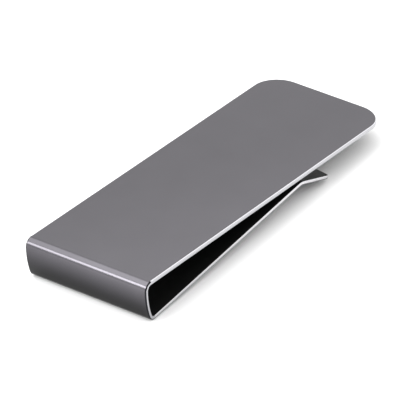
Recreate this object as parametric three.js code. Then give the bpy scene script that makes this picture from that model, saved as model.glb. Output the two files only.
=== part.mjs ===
// A slim money clip: one strip of spring steel, bent into a flat front plate, a spine and a spring leg
// that climbs back towards the plate, touches the notes at a crest and flares away as a thumb lip.
// Millimetres, +Z up. The clip lies as it does on a table, plate uppermost, on its lower bend and lip tip.
//
// The strip is divided at its bend lines. The leg, the spine and the plate are the three rigid bodies
// of its flexing, so a hairline gap is left at the two lines where it flexes.
//
// The strip is laid out in the plate's own frame: +X runs from the spine to the plate's free end,
// the plate's outer face is the plane z = 0 and the strip is centred on y = 0.

import * as THREE from "three";

// The strip
const stripWidth = 25.4;
const stripThickness = 0.7;
const halfThickness = stripThickness / 2;
const halfWidth = stripWidth / 2;

// The front plate
const overallLength = 75.6;
const plateCornerRadius = 5.3;

// The bends: radii are those of the strip's middle layer, turns in degrees
const upperBendRadius = 1.2;
const upperBendTurn = 95;
const spineArcLength = 5.65;
const spineTurn = 20;
const lowerBendRadius = 1.3;
const legRise = 7.8; // slope of the leg towards the plate
const crestRadius = 3.2;
const lipFall = 16.7; // slope of the lip away from the plate

// The spring leg and the lip
const legLength = 44.5;
const lipLength = 10.6;
const lipEndRadius = 40; // the convex end of the lip, seen from above
const lipCornerRadius = 1.0;

// Clearance across each of the two lines where the strip flexes
const flexGap = 0.1;

const arcStep = THREE.MathUtils.degToRad(4); // longest step of a faceted bend

const steel = { metalness: 1, roughness: 0.34 };
const faceSteel = new THREE.MeshStandardMaterial({ color: 0x7b797e, ...steel });
const bendSteel = new THREE.MeshStandardMaterial({ color: 0x858388, ...steel });

// A place on the middle layer of the strip, and the direction in which the strip runs on from it.
function place(x, z, headingDegrees) {
  return { x, z, heading: THREE.MathUtils.degToRad(headingDegrees) };
}

// The place a straight stretch further on.
function ahead(from, length) {
  return {
    x: from.x + length * Math.cos(from.heading),
    z: from.z + length * Math.sin(from.heading),
    heading: from.heading,
  };
}

// A bend that starts at a place: a positive turn is anticlockwise, seen with +X right and +Z up.
function bendFrom(start, radius, turnDegrees) {
  const side = Math.sign(turnDegrees);
  const turn = THREE.MathUtils.degToRad(turnDegrees);
  const centre = {
    x: start.x - side * radius * Math.sin(start.heading),
    z: start.z + side * radius * Math.cos(start.heading),
  };
  const heading = start.heading + turn;
  const end = {
    x: centre.x + side * radius * Math.sin(heading),
    z: centre.z - side * radius * Math.cos(heading),
    heading,
  };
  return { start, end, centre, radius, side, turn };
}

// A side profile in the XZ plane, drawn across the whole width of the strip.
function acrossWidth(profile, curveSegments = 1) {
  const geometry = new THREE.ExtrudeGeometry(profile, {
    depth: stripWidth,
    bevelEnabled: false,
    curveSegments,
  });
  geometry.rotateX(Math.PI / 2);
  geometry.translate(0, halfWidth, 0);
  return geometry;
}

// A bend's side profile is a sector of a ring one strip thick.
function bendGeometry(bend) {
  const from = bend.start.heading - (bend.side * Math.PI) / 2;
  const to = from + bend.turn;
  const clockwise = bend.turn < 0;
  const profile = new THREE.Shape();
  profile.absarc(bend.centre.x, bend.centre.z, bend.radius + halfThickness, from, to, clockwise);
  profile.absarc(bend.centre.x, bend.centre.z, bend.radius - halfThickness, to, from, !clockwise);
  profile.closePath();
  return acrossWidth(profile, Math.ceil(Math.abs(bend.turn) / arcStep));
}

// A straight stretch's side profile is a rectangle along its heading.
function straightGeometry(from, to) {
  const across = { x: -Math.sin(from.heading) * halfThickness, z: Math.cos(from.heading) * halfThickness };
  const profile = new THREE.Shape();
  profile.moveTo(from.x - across.x, from.z - across.z);
  profile.lineTo(to.x - across.x, to.z - across.z);
  profile.lineTo(to.x + across.x, to.z + across.z);
  profile.lineTo(from.x + across.x, from.z + across.z);
  profile.closePath();
  return acrossWidth(profile);
}

// The front plate, seen from above: square at the bend, rounded at both corners of its free end.
function plateGeometry(startX) {
  const outline = new THREE.Shape();
  const cornerX = overallLength - plateCornerRadius;
  const cornerY = halfWidth - plateCornerRadius;
  outline.moveTo(startX, halfWidth);
  outline.lineTo(startX, -halfWidth);
  outline.absarc(cornerX, -cornerY, plateCornerRadius, -Math.PI / 2, 0, false);
  outline.absarc(cornerX, cornerY, plateCornerRadius, 0, Math.PI / 2, false);
  outline.closePath();
  const geometry = new THREE.ExtrudeGeometry(outline, {
    depth: stripThickness,
    bevelEnabled: false,
    curveSegments: 14,
  });
  geometry.translate(0, 0, -stripThickness);
  return geometry;
}

// The thumb lip, seen from above: a convex end with a small corner radius, then laid along its slope.
function lipGeometry(start) {
  const endCentreX = lipLength - lipEndRadius;
  const cornerY = halfWidth - lipCornerRadius;
  const cornerX = endCentreX + Math.sqrt((lipEndRadius - lipCornerRadius) ** 2 - cornerY ** 2);
  const cornerAngle = Math.atan2(cornerY, cornerX - endCentreX);
  const outline = new THREE.Shape();
  outline.moveTo(0, halfWidth);
  outline.lineTo(0, -halfWidth);
  outline.absarc(cornerX, -cornerY, lipCornerRadius, -Math.PI / 2, -cornerAngle, false);
  outline.absarc(endCentreX, 0, lipEndRadius, -cornerAngle, cornerAngle, false);
  outline.absarc(cornerX, cornerY, lipCornerRadius, cornerAngle, Math.PI / 2, false);
  outline.closePath();
  const geometry = new THREE.ExtrudeGeometry(outline, {
    depth: stripThickness,
    bevelEnabled: false,
    curveSegments: 12,
  });
  geometry.translate(0, 0, -halfThickness);
  geometry.rotateY(-start.heading);
  geometry.translate(start.x, 0, start.z);
  return geometry;
}

// The strip's middle layer, from the plate's bend line to the lip.
const plateLine = place(upperBendRadius + halfThickness, -halfThickness, 180);
const upperBend = bendFrom(plateLine, upperBendRadius, upperBendTurn);
const spineArcRadius = spineArcLength / THREE.MathUtils.degToRad(spineTurn);
const spineArc = bendFrom(upperBend.end, spineArcRadius, spineTurn);
const lowerBendTurn = 180 + legRise - upperBendTurn - spineTurn;
const lowerBend = bendFrom(spineArc.end, lowerBendRadius, lowerBendTurn);
const legEnd = ahead(lowerBend.end, legLength);
const crest = bendFrom(legEnd, crestRadius, -(legRise + lipFall));
const lipTip = ahead(crest.end, lipLength);

// The clip rests on the outside of its lower bend and on the under edge of its lip tip.
function restingTilt() {
  const outsideRadius = lowerBendRadius + halfThickness;
  const tipUnderEdge = {
    x: lipTip.x + Math.sin(lipTip.heading) * halfThickness,
    z: lipTip.z - Math.cos(lipTip.heading) * halfThickness,
  };
  const dx = tipUnderEdge.x - lowerBend.centre.x;
  const dz = tipUnderEdge.z - lowerBend.centre.z;
  return Math.atan2(dz, dx) + Math.asin(outsideRadius / Math.hypot(dx, dz));
}

function part(name, geometry, material) {
  const mesh = new THREE.Mesh(geometry, material);
  mesh.name = name;
  return mesh;
}

const strip = new THREE.Group();
strip.add(part("front_plate", plateGeometry(plateLine.x + flexGap), faceSteel));
strip.add(part("upper_bend", bendGeometry(upperBend), bendSteel));
strip.add(part("spine_wall", bendGeometry(spineArc), faceSteel));
strip.add(part("lower_bend", bendGeometry(lowerBend), bendSteel));
strip.add(part("spring_leg", straightGeometry(ahead(lowerBend.end, flexGap), legEnd), faceSteel));
strip.add(part("grip_crest", bendGeometry(crest), bendSteel));
strip.add(part("thumb_lip", lipGeometry(crest.end), faceSteel));
strip.rotation.y = restingTilt();

// The origin is under the middle of the clip's bounding box, on the surface that it lies on.
const moneyClip = new THREE.Group();
moneyClip.add(strip);
moneyClip.updateMatrixWorld(true);
const box = new THREE.Box3().setFromObject(moneyClip, true);
strip.position.set(-(box.min.x + box.max.x) / 2, 0, -box.min.z);

export default moneyClip;
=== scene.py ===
"""A slim money clip bent from one strip of spring steel, on a pale studio floor. Metres, +Z up."""

import math

import bmesh
import bpy
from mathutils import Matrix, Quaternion, Vector


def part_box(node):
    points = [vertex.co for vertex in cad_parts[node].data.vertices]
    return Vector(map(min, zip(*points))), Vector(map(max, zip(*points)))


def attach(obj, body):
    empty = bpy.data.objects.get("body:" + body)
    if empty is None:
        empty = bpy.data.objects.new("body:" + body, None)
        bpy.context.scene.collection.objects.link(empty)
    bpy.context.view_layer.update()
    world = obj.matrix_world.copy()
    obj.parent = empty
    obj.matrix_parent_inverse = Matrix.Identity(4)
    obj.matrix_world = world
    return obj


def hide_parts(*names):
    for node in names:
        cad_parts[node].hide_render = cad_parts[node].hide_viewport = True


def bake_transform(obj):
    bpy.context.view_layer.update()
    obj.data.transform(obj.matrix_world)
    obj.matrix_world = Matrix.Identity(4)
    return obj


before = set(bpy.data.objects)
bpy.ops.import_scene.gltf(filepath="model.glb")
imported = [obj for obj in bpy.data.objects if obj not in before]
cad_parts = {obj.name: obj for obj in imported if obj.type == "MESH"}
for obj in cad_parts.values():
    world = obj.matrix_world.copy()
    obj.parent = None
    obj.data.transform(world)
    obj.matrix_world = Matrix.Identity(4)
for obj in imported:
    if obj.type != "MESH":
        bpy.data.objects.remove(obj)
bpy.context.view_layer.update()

MM = 0.001

# The strip
WIDTH = 25.4 * MM
THICKNESS = 0.7 * MM
HALF = THICKNESS / 2
OUTER_ROUNDING = 0.22 * MM
INNER_ROUNDING = 0.08 * MM

# The profile: radii are those of the strip's middle layer, turns and slopes in degrees
LENGTH = 75.6 * MM
PLATE_CORNER_RADIUS = 5.3 * MM
UPPER_BEND_RADIUS = 1.2 * MM
UPPER_BEND_TURN = 95
SPINE_ARC_LENGTH = 5.65 * MM
SPINE_TURN = 20
LOWER_BEND_RADIUS = 1.3 * MM
LEG_RISE = 7.8
LEG_LENGTH = 44.5 * MM
CREST_RADIUS = 3.2 * MM
LIP_FALL = 16.7
LIP_LENGTH = 10.6 * MM
LIP_END_RADIUS = 40 * MM
LIP_CORNER_RADIUS = 1 * MM

# Each arm of the clip flexes over this length, next to the spine
FLEX_LENGTH = 20 * MM
FLEX_GAP = 0.1 * MM  # the frame's clearance at the flex lines, which the plate's rest position counts in

# Mesh fineness
BEND_STEP = math.radians(3)
FLEX_STEP = 1 * MM
ROUNDING_STEPS = 6
PLATE_CORNER_STEPS = 24
LIP_END_STEPS = 24
LIP_CORNER_STEPS = 10
LAND = 0.03 * MM  # a narrow flat beside each rounding keeps the flats' shading flat
SHARP_ANGLE = math.radians(40)  # edges that turn by more than this are shaded sharp
SLICE_TOLERANCE = 1e-6 * MM

# The satin's colour is darkened on the lower bend as painted shade, in place of the floor's contact shadow
# reflected there, and fades back to the plain tone over the reach below.
# Over the whole clip the satin's colour also changes slowly as a painted reflection gradient, lightest
# against the fall direction below, in place of the lights' uneven reflection.
PAINTED_SHADE_REACH = 6 * MM
PAINTED_SHADE_LEVEL = 0.03
REFLECTION_PAINT_FALL = (1, 2, 0)
REFLECTION_PAINT_HIGH = 1.16
REFLECTION_PAINT_LOW = 0.87

# The grain of the steel, in noise cells per metre
STREAK_CELLS = (120, 9000, 120)
CLOUD_CELLS = 160
GRAIN_CELLS = 14000
CLOUDINESS = 0.06
SATIN_RELIEF = 0.001 * MM
POLISHED_RELIEF = 0.0004 * MM

# The studio
FLOOR_HALF_SIZE = 4
FLOOR_DEPTH = 0.01 * MM  # the floor lies this far under the clip, so that the faces never share a plane
FLOOR_WHITENESS = 0.8
HORIZON_RADIANCE = 1.5
ZENITH_RADIANCE = 1.7
BOX_DISTANCE = 0.5
BOX_LENGTH = 0.5
BACK_SHARE = 0.55  # the softboxes' place towards +Y, as a share of BOX_DISTANCE

# The camera
AZIMUTH = math.radians(-55.44)
ELEVATION = math.radians(32.3)
ROLL = math.radians(0.21)
CAMERA_DISTANCE = 1.0455
CAMERA_TARGET = (-9.37 * MM, -4.29 * MM, 7.76 * MM)
SENSOR_WIDTH = 36
FOCAL_LENGTH = 540
CLIP_START = 0.05
CLIP_END = 20


# ---- The strip's middle layer, in the plate's frame: plate's outer face at z = 0, spine at x = 0 ----


def station(x, z, heading):
    return (x, z, heading)


def ahead(at, length):
    x, z, heading = at
    return station(x + length * math.cos(heading), z + length * math.sin(heading), heading)


def along_bend(at, radius, turn):
    """The place after a bend that starts at a place; a positive turn is anticlockwise."""
    x, z, heading = at
    side = math.copysign(1, turn)
    centre_x = x - side * radius * math.sin(heading)
    centre_z = z + side * radius * math.cos(heading)
    heading += turn
    return station(
        centre_x + side * radius * math.sin(heading), centre_z - side * radius * math.cos(heading), heading
    )


def bend_stations(at, radius, turn):
    """Stations round a bend, with a narrow first and last step so that its ends meet the flats smoothly."""
    steps = math.ceil(abs(turn) / BEND_STEP)
    edge = LAND / radius / abs(turn)
    shares = [0, edge, *(k / steps for k in range(1, steps)), 1 - edge, 1]
    return [along_bend(at, radius, turn * share) for share in shares]


def leg_stations(at, length):
    """Stations along the leg, close together where it flexes."""
    places = [FLEX_STEP * k for k in range(round(FLEX_LENGTH / FLEX_STEP) + 1)]
    return [ahead(at, place) for place in [*places, length]]


plate_line = station(UPPER_BEND_RADIUS + HALF, -HALF, math.pi)
upper_turn = math.radians(UPPER_BEND_TURN)
spine_turn = math.radians(SPINE_TURN)
spine_radius = SPINE_ARC_LENGTH / spine_turn
lower_turn = math.radians(180 + LEG_RISE) - upper_turn - spine_turn
crest_turn = -math.radians(LEG_RISE + LIP_FALL)

spine_top = along_bend(plate_line, UPPER_BEND_RADIUS, upper_turn)
spine_foot = along_bend(spine_top, spine_radius, spine_turn)
leg_line = along_bend(spine_foot, LOWER_BEND_RADIUS, lower_turn)
leg_end = ahead(leg_line, LEG_LENGTH)
lip_line = along_bend(leg_end, CREST_RADIUS, crest_turn)


# ---- From the plate's frame to the row frame ----


def resting_tilt():
    """The clip lies on the outside of its lower bend and on the under edge of its lip tip."""
    outside = LOWER_BEND_RADIUS + HALF
    centre_x = leg_line[0] - LOWER_BEND_RADIUS * math.sin(leg_line[2])
    centre_z = leg_line[1] + LOWER_BEND_RADIUS * math.cos(leg_line[2])
    tip_x, tip_z, heading = ahead(lip_line, LIP_LENGTH)
    dx = tip_x + HALF * math.sin(heading) - centre_x
    dz = tip_z - HALF * math.cos(heading) - centre_z
    return math.atan2(dz, dx) + math.asin(outside / math.hypot(dx, dz))


TILT = resting_tilt()
# The plate's highest x is on its outer face at the free end, and its highest z at the flex line
plate_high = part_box("front_plate")[1]
SHIFT_X = plate_high.x - LENGTH * math.cos(TILT)
SHIFT_Z = plate_high.z + (UPPER_BEND_RADIUS + HALF + FLEX_GAP) * math.sin(TILT)


def to_row(x, y, z):
    """A point of the plate's frame, in the row frame."""
    return Vector(
        (
            x * math.cos(TILT) + z * math.sin(TILT) + SHIFT_X,
            y,
            -x * math.sin(TILT) + z * math.cos(TILT) + SHIFT_Z,
        )
    )


def on_strip(at, y, out):
    """A point at a station of the strip, y across it and out from its middle layer, in the row frame."""
    x, z, heading = at
    return to_row(x + out * math.sin(heading), y, z - out * math.cos(heading))


# ---- Meshes ----

OUTER, RIM_TOP, RIM_SIDE, EDGE, INNER = range(5)  # material slots


def edge_profile():
    """(inset from the strip's edge, height out from the middle layer), from the outer to the inner face."""
    quarter = [math.pi / 2 * k / ROUNDING_STEPS for k in range(ROUNDING_STEPS + 1)]
    r, q = OUTER_ROUNDING, INNER_ROUNDING
    return [
        (r + LAND, HALF),
        *((r - r * math.sin(a), HALF - r + r * math.cos(a)) for a in quarter),
        (0, HALF - r - LAND),
        (0, q + LAND - HALF),
        *((q - q * math.sin(a), q - q * math.cos(a) - HALF) for a in reversed(quarter)),
        (q + LAND, -HALF),
    ]


PROFILE = edge_profile()


def zone_of(k):
    """The material of the strip of faces between profile points k and k + 1."""
    if k == 0:
        return OUTER
    if k <= ROUNDING_STEPS // 2:
        return RIM_TOP
    if k <= ROUNDING_STEPS:
        return RIM_SIDE
    if k == len(PROFILE) - 2:
        return INNER
    return EDGE


def finished(name, bm, body_materials):
    """Closes a bmesh into a shown object with smooth faces and sharp cut ends."""
    bmesh.ops.recalc_face_normals(bm, faces=bm.faces)
    for face in bm.faces:
        face.smooth = True
    for edge in bm.edges:
        if len(edge.link_faces) == 2 and edge.calc_face_angle() > SHARP_ANGLE:
            edge.smooth = False
    mesh = bpy.data.meshes.new(name)
    bm.to_mesh(mesh)
    bm.free()
    for material in body_materials:
        mesh.materials.append(material)
    piece = bpy.data.objects.new(name, mesh)
    bpy.context.scene.collection.objects.link(piece)
    return piece


def sweep(name, stations, materials):
    """The strip's rounded section carried through the stations, closed at both ends."""
    bm = bmesh.new()
    half_width = WIDTH / 2
    rings = []
    for at in stations:
        near = [bm.verts.new(on_strip(at, -half_width + inset, out)) for inset, out in PROFILE]
        far = [bm.verts.new(on_strip(at, half_width - inset, out)) for inset, out in reversed(PROFILE)]
        rings.append(near + far)
    count = len(rings[0])
    last = len(PROFILE) - 1
    for a, b in zip(rings, rings[1:]):
        for k in range(count):
            face = bm.faces.new((a[k], a[(k + 1) % count], b[(k + 1) % count], b[k]))
            if k == last:
                face.material_index = INNER
            elif k == count - 1:
                face.material_index = OUTER
            else:
                face.material_index = zone_of(k if k < last else count - 2 - k)
    for ring in (rings[0], rings[-1]):
        cap = bm.faces.new(ring)
        cap.material_index = EDGE
    return finished(name, bm, materials)


def arc(centre_u, centre_y, radius, start, end, steps):
    """(u, y, outward u, outward y) round an arc."""
    points = []
    for k in range(steps + 1):
        a = start + (end - start) * k / steps
        u, y = math.cos(a), math.sin(a)
        points.append((centre_u + radius * u, centre_y + radius * y, u, y))
    return points


def tongue(name, at, way, outline, slices, materials):
    """A flat end of the strip, running on from a station (way 1) or back from it (way -1).
    The outline runs from the near to the far end of the cut at u = 0."""
    bm = bmesh.new()
    columns = []
    for u, y, out_u, out_y in outline:
        columns.append(
            [
                bm.verts.new(on_strip(ahead(at, way * (u - inset * out_u)), y - inset * out_y, out))
                for inset, out in PROFILE
            ]
        )
    for a, b in zip(columns, columns[1:]):
        for k in range(len(PROFILE) - 1):
            face = bm.faces.new((a[k], a[k + 1], b[k + 1], b[k]))
            face.material_index = zone_of(k)
    bm.faces.new([column[0] for column in columns]).material_index = OUTER
    bm.faces.new([column[-1] for column in columns]).material_index = INNER
    bm.faces.new([*columns[0], *reversed(columns[-1])]).material_index = EDGE
    along = on_strip(ahead(at, 1), 0, 0) - on_strip(at, 0, 0)
    for u in slices:
        bmesh.ops.bisect_plane(
            bm,
            geom=[*bm.verts, *bm.edges, *bm.faces],
            dist=SLICE_TOLERANCE,
            plane_co=on_strip(ahead(at, way * u), 0, 0),
            plane_no=along,
        )
    return finished(name, bm, materials)


def plate_outline():
    """The plate's free end has two rounded corners."""
    length = LENGTH - plate_line[0]
    corner_u = length - PLATE_CORNER_RADIUS
    corner_y = WIDTH / 2 - PLATE_CORNER_RADIUS
    quarter = math.pi / 2
    return [
        (0, -WIDTH / 2, 0, -1),
        *arc(corner_u, -corner_y, PLATE_CORNER_RADIUS, -quarter, 0, PLATE_CORNER_STEPS),
        *arc(corner_u, corner_y, PLATE_CORNER_RADIUS, 0, quarter, PLATE_CORNER_STEPS),
        (0, WIDTH / 2, 0, 1),
    ]


def lip_outline():
    """The lip ends in a shallow convex arc between two small corners."""
    centre_u = LIP_LENGTH - LIP_END_RADIUS
    corner_y = WIDTH / 2 - LIP_CORNER_RADIUS
    corner_u = centre_u + math.sqrt((LIP_END_RADIUS - LIP_CORNER_RADIUS) ** 2 - corner_y**2)
    corner_angle = math.atan2(corner_y, corner_u - centre_u)
    quarter = math.pi / 2
    return [
        (0, -WIDTH / 2, 0, -1),
        *arc(corner_u, -corner_y, LIP_CORNER_RADIUS, -quarter, -corner_angle, LIP_CORNER_STEPS),
        *arc(centre_u, 0, LIP_END_RADIUS, -corner_angle, corner_angle, LIP_END_STEPS)[1:-1],
        *arc(corner_u, corner_y, LIP_CORNER_RADIUS, corner_angle, quarter, LIP_CORNER_STEPS),
        (0, WIDTH / 2, 0, 1),
    ]


# ---- Materials ----

fold = along_bend(spine_foot, LOWER_BEND_RADIUS, lower_turn / 2)
FOLD_CENTRE = on_strip(fold, 0, -LOWER_BEND_RADIUS)


def painted_fold_shade(nodes, links, place):
    """Painted shade: a colour factor of 1 away from the lower bend, falling to its darkest level on it, in
    place of the floor's contact shadow reflected there.
    """
    across_fold = nodes.new("ShaderNodeVectorMath")
    across_fold.operation = "MULTIPLY"
    across_fold.inputs[1].default_value = (1, 0, 1)
    links.new(place, across_fold.inputs[0])
    distance = nodes.new("ShaderNodeVectorMath")
    distance.operation = "DISTANCE"
    distance.inputs[1].default_value = FOLD_CENTRE
    links.new(across_fold.outputs["Vector"], distance.inputs[0])
    shade = nodes.new("ShaderNodeMapRange")
    shade.inputs["From Min"].default_value = LOWER_BEND_RADIUS + HALF
    shade.inputs["From Max"].default_value = PAINTED_SHADE_REACH
    shade.inputs["To Min"].default_value = PAINTED_SHADE_LEVEL
    links.new(distance.outputs["Value"], shade.inputs["Value"])
    return shade.outputs["Result"]


def painted_reflection_gradient(nodes, links, place):
    """Painted reflection gradient: a slow change of colour over the whole clip, from the high to the low
    factor along the fall direction, in place of the lights' uneven reflection.
    """
    along = nodes.new("ShaderNodeVectorMath")
    along.operation = "DOT_PRODUCT"
    along.inputs[1].default_value = REFLECTION_PAINT_FALL
    links.new(place, along.inputs[0])
    reflection_paint = nodes.new("ShaderNodeMapRange")
    reflection_paint.interpolation_type = "SMOOTHSTEP"
    reflection_paint.inputs["From Min"].default_value = -LENGTH
    reflection_paint.inputs["From Max"].default_value = WIDTH
    reflection_paint.inputs["To Min"].default_value = REFLECTION_PAINT_HIGH
    reflection_paint.inputs["To Max"].default_value = REFLECTION_PAINT_LOW
    links.new(along.outputs["Value"], reflection_paint.inputs["Value"])
    return reflection_paint.outputs["Result"]


def steel(name, colour, roughness, streak, grain_depth, tones=()):
    """Metal with fine streaks along the strip, a slight cloudiness and a fine grain. The streaks change
    its roughness by up to streak either way, and each of the tones scales its colour."""
    material = bpy.data.materials.new(name)
    material.use_nodes = True
    nodes, links = material.node_tree.nodes, material.node_tree.links
    shader = nodes["Principled BSDF"]
    shader.inputs["Metallic"].default_value = 1

    place = nodes.new("ShaderNodeTexCoord")
    stretch = nodes.new("ShaderNodeMapping")
    stretch.inputs["Scale"].default_value = STREAK_CELLS
    links.new(place.outputs["Object"], stretch.inputs["Vector"])

    streaks = nodes.new("ShaderNodeTexNoise")
    streaks.inputs["Scale"].default_value = 1
    streaks.inputs["Detail"].default_value = 3
    links.new(stretch.outputs["Vector"], streaks.inputs["Vector"])

    cloud = nodes.new("ShaderNodeTexNoise")
    cloud.inputs["Scale"].default_value = CLOUD_CELLS
    cloud.inputs["Detail"].default_value = 4
    links.new(place.outputs["Object"], cloud.inputs["Vector"])

    grain = nodes.new("ShaderNodeTexNoise")
    grain.inputs["Scale"].default_value = GRAIN_CELLS
    grain.inputs["Detail"].default_value = 2
    links.new(place.outputs["Object"], grain.inputs["Vector"])

    tint = nodes.new("ShaderNodeMix")
    tint.data_type = "RGBA"
    tint.inputs["A"].default_value = (*(c * (1 - CLOUDINESS) for c in colour), 1)
    tint.inputs["B"].default_value = (*(c * (1 + CLOUDINESS) for c in colour), 1)
    links.new(cloud.outputs["Fac"], tint.inputs["Factor"])
    colour_out = tint.outputs["Result"]
    for tone in tones:
        scaled = nodes.new("ShaderNodeVectorMath")
        scaled.operation = "SCALE"
        links.new(colour_out, scaled.inputs["Vector"])
        links.new(tone(nodes, links, place.outputs["Object"]), scaled.inputs["Scale"])
        colour_out = scaled.outputs["Vector"]
    links.new(colour_out, shader.inputs["Base Color"])

    rough = nodes.new("ShaderNodeMapRange")
    rough.inputs["To Min"].default_value = roughness - streak
    rough.inputs["To Max"].default_value = roughness + streak
    links.new(streaks.outputs["Fac"], rough.inputs["Value"])
    links.new(rough.outputs["Result"], shader.inputs["Roughness"])

    relief = nodes.new("ShaderNodeMath")
    relief.operation = "ADD"
    links.new(streaks.outputs["Fac"], relief.inputs[0])
    links.new(grain.outputs["Fac"], relief.inputs[1])
    bump = nodes.new("ShaderNodeBump")
    bump.inputs["Strength"].default_value = 0.5
    bump.inputs["Distance"].default_value = grain_depth
    links.new(relief.outputs["Value"], bump.inputs["Height"])
    links.new(bump.outputs["Normal"], shader.inputs["Normal"])
    return material


# The satin's colour carries painted shade on the lower bend and a painted reflection gradient over the
# whole clip.
satin = steel(
    "satin_gunmetal", (0.1, 0.096, 0.106), 0.22, 0.03, SATIN_RELIEF, tones=(painted_fold_shade, painted_reflection_gradient)
)
polished = steel("polished_edge", (0.43, 0.43, 0.45), 0.16, 0.03, POLISHED_RELIEF)
# Painted highlight: a brighter copy of the polished steel, on the top half of the plate's rounding and on
# the leg's cut edge, which lies in shade.
highlight_edge = steel("painted_highlight_edge", (0.62, 0.62, 0.64), 0.16, 0.03, POLISHED_RELIEF)
# Painted dark reflection: a near-black steel on the rounding along the bends' and spine's edges, in place
# of the shaded floor that they reflect.
dark_reflection_rim = steel("painted_dark_reflection_rim", (0.02, 0.02, 0.023), 0.22, 0.03, POLISHED_RELIEF)
# Painted shade: the inner faces are made far darker than the outer steel, where the clip shades its own
# inside.
shaded_inner = steel("painted_shade_inner_face", (0.02, 0.02, 0.02), 0.55, 0.05, SATIN_RELIEF)
# In the order of the material slots: outer face, both halves of its rounding, cut edge, inner face
plate_metals = [satin, highlight_edge, polished, polished, shaded_inner]
spine_metals = [satin, dark_reflection_rim, dark_reflection_rim, polished, shaded_inner]
leg_metals = [satin, satin, satin, highlight_edge, shaded_inner]


# ---- The clip's pieces ----

flex_slices = [FLEX_STEP * k for k in range(1, round(FLEX_LENGTH / FLEX_STEP) + 1)]
front_plate = tongue("front_plate_strip", plate_line, -1, plate_outline(), flex_slices, plate_metals)
upper_bend = sweep(
    "upper_bend_strip", bend_stations(plate_line, UPPER_BEND_RADIUS, upper_turn), spine_metals
)
spine_wall = sweep("spine_wall_strip", bend_stations(spine_top, spine_radius, spine_turn), spine_metals)
lower_bend = sweep(
    "lower_bend_strip", bend_stations(spine_foot, LOWER_BEND_RADIUS, lower_turn), spine_metals
)
spring_leg = sweep("spring_leg_strip", leg_stations(leg_line, LEG_LENGTH), leg_metals)
grip_crest = sweep("grip_crest_strip", bend_stations(leg_end, CREST_RADIUS, crest_turn), leg_metals)
thumb_lip = tongue("thumb_lip_strip", lip_line, 1, lip_outline(), [], leg_metals)

for piece, node in (
    (front_plate, "front_plate"),
    (upper_bend, "upper_bend"),
    (spine_wall, "spine_wall"),
    (lower_bend, "lower_bend"),
    (spring_leg, "spring_leg"),
    (grip_crest, "grip_crest"),
    (thumb_lip, "thumb_lip"),
):
    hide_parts(node)

for piece in (upper_bend, spine_wall, lower_bend):
    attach(piece, "spine")
for piece in (grip_crest, thumb_lip):
    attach(piece, "leg")
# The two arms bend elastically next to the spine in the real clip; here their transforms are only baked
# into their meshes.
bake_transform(front_plate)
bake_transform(spring_leg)


# ---- Floor, light and camera ----

floor_mesh = bpy.data.meshes.new("floor")
floor_bm = bmesh.new()
bmesh.ops.create_grid(floor_bm, x_segments=1, y_segments=1, size=FLOOR_HALF_SIZE)
floor_bm.to_mesh(floor_mesh)
floor_bm.free()
floor = bpy.data.objects.new("floor", floor_mesh)
floor.location.z = -FLOOR_DEPTH
bpy.context.scene.collection.objects.link(floor)
floor_paint = bpy.data.materials.new("floor_paint")
floor_paint.use_nodes = True
floor_shader = floor_paint.node_tree.nodes["Principled BSDF"]
floor_shader.inputs["Base Color"].default_value = (*[FLOOR_WHITENESS] * 3, 1)
floor_shader.inputs["Roughness"].default_value = 0.9
floor_mesh.materials.append(floor_paint)


def studio_sky():
    """White all round, and a little brighter overhead."""
    world = bpy.data.worlds.new("studio")
    world.use_nodes = True
    nodes, links = world.node_tree.nodes, world.node_tree.links
    direction = nodes.new("ShaderNodeTexCoord")
    axes = nodes.new("ShaderNodeSeparateXYZ")
    links.new(direction.outputs["Generated"], axes.inputs["Vector"])
    rise = nodes.new("ShaderNodeMapRange")
    rise.inputs["To Min"].default_value = HORIZON_RADIANCE
    rise.inputs["To Max"].default_value = ZENITH_RADIANCE
    links.new(axes.outputs["Z"], rise.inputs["Value"])
    nodes["Background"].inputs["Color"].default_value = (1, 1, 1, 1)
    links.new(rise.outputs["Result"], nodes["Background"].inputs["Strength"])
    return world


bpy.context.scene.world = studio_sky()


def softbox(name, bearing, spread, radiance):
    """A soft area light behind the clip, with its length along Y. Its bearing is an angle from +X over
    the top to -X, and its spread is the angle that it fills that way, both in degrees."""
    across = 2 * BOX_DISTANCE * math.tan(math.radians(spread) / 2)
    light = bpy.data.lights.new(name, "AREA")
    light.shape = "RECTANGLE"
    light.size, light.size_y = across, BOX_LENGTH
    light.energy = radiance * math.pi * across * BOX_LENGTH
    lamp = bpy.data.objects.new(name, light)
    angle = math.radians(bearing)
    lamp.location = Vector((math.cos(angle), BACK_SHARE, math.sin(angle))) * BOX_DISTANCE
    lamp.rotation_euler = (0, math.pi / 2 - angle, 0)
    lamp.visible_camera = False
    bpy.context.scene.collection.objects.link(lamp)


softbox("overhead_box", bearing=97, spread=57, radiance=1.7)
softbox("spine_strip", bearing=145, spread=22, radiance=7)

camera_data = bpy.data.cameras.new("camera")
camera_data.sensor_width = SENSOR_WIDTH
camera_data.lens = FOCAL_LENGTH
camera = bpy.data.objects.new("camera", camera_data)
bpy.context.scene.collection.objects.link(camera)
back = Vector(
    (
        math.sin(AZIMUTH) * math.cos(ELEVATION),
        -math.cos(AZIMUTH) * math.cos(ELEVATION),
        math.sin(ELEVATION),
    )
)
camera.location = Vector(CAMERA_TARGET) + back * CAMERA_DISTANCE
camera.rotation_euler = (back.to_track_quat("Z", "Y") @ Quaternion((0, 0, 1), ROLL)).to_euler()
camera_data.clip_start, camera_data.clip_end = CLIP_START, CLIP_END
bpy.context.scene.camera = camera
bpy.context.scene.view_settings.view_transform = "Standard"
